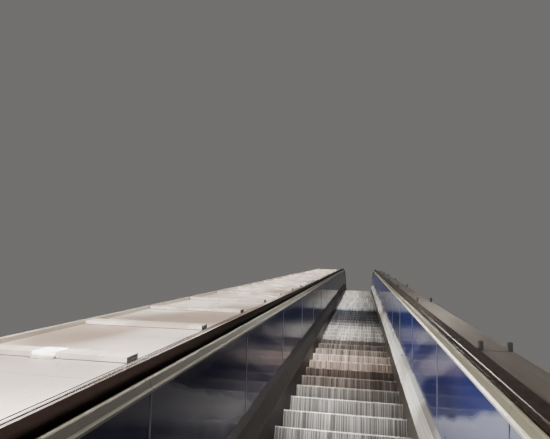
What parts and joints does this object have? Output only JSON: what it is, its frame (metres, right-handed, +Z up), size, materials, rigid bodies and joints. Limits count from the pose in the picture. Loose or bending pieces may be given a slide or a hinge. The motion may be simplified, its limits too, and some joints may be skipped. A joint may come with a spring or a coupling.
{
  "type": "escalator",
  "caption": "Public-transport escalator: truss, step band with combs, dark blue balustrades with handrails, wide outer deck on one side.",
  "frame": {"origin": "middle of the lower support bracket's bearing face, on the machine's centre line", "axes": "+Y horizontal, up the run; +X to a rider's right going up; +Z up"},
  "size_m": [2.515, 28.5531, 13.001],
  "materials": {
    "step_aluminium": "die-cast aluminium, worn bright on the cleats, grey in the grooves",
    "comb_aluminium": "cast aluminium comb, worn",
    "floor_stainless": "ribbed stainless landing plate",
    "skirt_dark": "dark low-friction coated steel, semi-gloss",
    "inner_deck_grey": "dark grey satin sheet",
    "inner_deck_bright": "bright brushed stainless sheet",
    "panel_blue": "deep blue high-gloss enamel",
    "trim_olive": "olive-grey satin trim with light worn edges",
    "guide_steel": "plain steel section",
    "handrail_rubber": "black rubber, slightly glossy from hands",
    "side_stainless": "brushed stainless cladding",
    "inlet_black": "black moulded plastic",
    "deck_stainless": "brushed stainless sheet",
    "deck_grey": "warm grey satin sheet",
    "truss_paint": "grey primer paint",
    "soffit_steel": "grey painted sheet",
    "track_steel": "cold-rolled steel, oiled"
  },
  "bodies": {
    "root": {"steps": "step_aluminium", "return_steps": "step_aluminium", "lower_comb": "comb_aluminium", "upper_comb": "comb_aluminium", "lower_floor_plates": "floor_stainless", "upper_floor_plates": "floor_stainless", "lower_floor_frame": "floor_stainless", "upper_floor_frame": "floor_stainless", "left_skirt": "skirt_dark", "right_skirt": "skirt_dark", "left_inner_deck": "inner_deck_grey", "right_inner_deck": "inner_deck_bright", "left_interior_panels": "panel_blue", "right_interior_panels": "panel_blue", "left_top_trim": "trim_olive", "right_top_trim": "trim_olive", "left_handrail_guide": "guide_steel", "right_handrail_guide": "guide_steel", "left_handrail": "handrail_rubber", "right_handrail": "handrail_rubber", "left_newels": "side_stainless", "right_newels": "side_stainless", "left_handrail_inlets": "inlet_black", "right_handrail_inlets": "inlet_black", "left_outer_deck": "deck_stainless", "right_outer_deck": "deck_grey", "deck_bars": "deck_stainless", "left_deck_edge": "trim_olive", "right_deck_stops": "inlet_black", "left_deck_gussets": "truss_paint", "left_side_sheets": "side_stainless", "right_side_sheets": "side_stainless", "left_uprights": "truss_paint", "right_uprights": "truss_paint", "left_truss_frame": "truss_paint", "right_truss_frame": "truss_paint", "cross_beams": "truss_paint", "soffit": "soffit_steel", "tracks": "track_steel", "return_tracks": "track_steel", "track_plates": "track_steel", "lower_end_casing": "truss_paint", "upper_end_casing": "truss_paint", "lower_support_bracket": "truss_paint", "upper_support_bracket": "truss_paint"}
  },
  "joints": []
}
